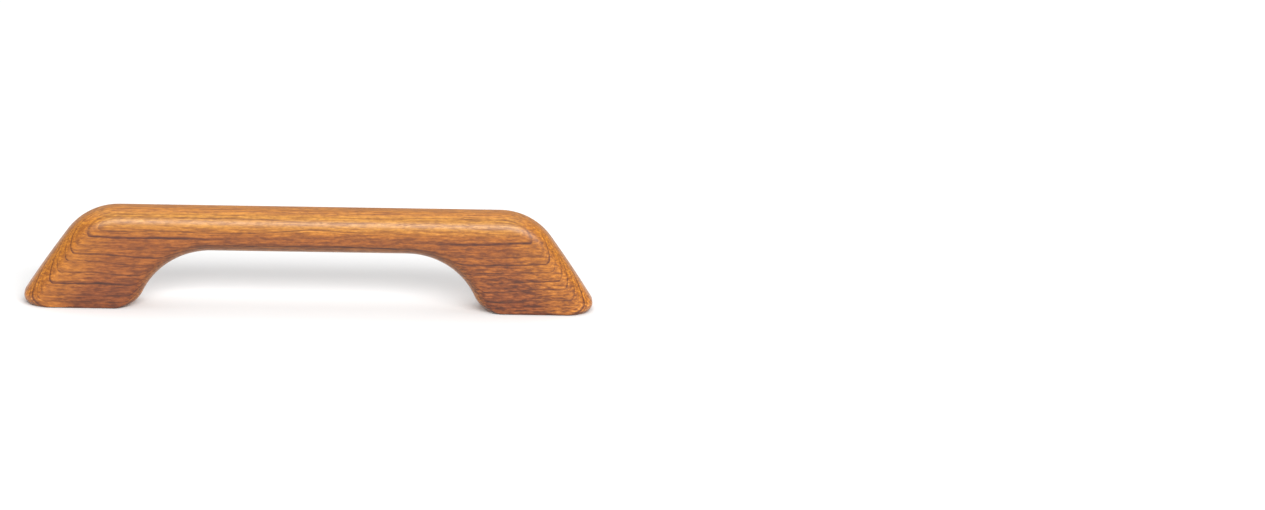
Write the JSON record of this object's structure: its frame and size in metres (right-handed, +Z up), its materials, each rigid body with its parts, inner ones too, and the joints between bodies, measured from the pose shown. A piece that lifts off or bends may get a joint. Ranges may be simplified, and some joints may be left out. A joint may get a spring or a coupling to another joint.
{
  "type": "grab rail",
  "caption": "Low wooden boat grab rail: a straight rounded bar on sloping feet with a hand gap beneath, fastened from below through buried threaded inserts.",
  "frame": {"origin": "on the base plane of the feet, midway along the rail and midway through its thickness", "axes": "+X along the rail, +Y through its thickness, +Z up from the deck to the bar"},
  "size_m": [0.3144, 0.024, 0.056],
  "materials": {
    "teak": "smooth oiled teak with a soft semi-gloss",
    "brass": "machined, slightly dulled"
  },
  "bodies": {
    "root": {"handrail": "teak", "threaded_insert_left": "brass", "threaded_insert_right": "brass"}
  },
  "joints": []
}
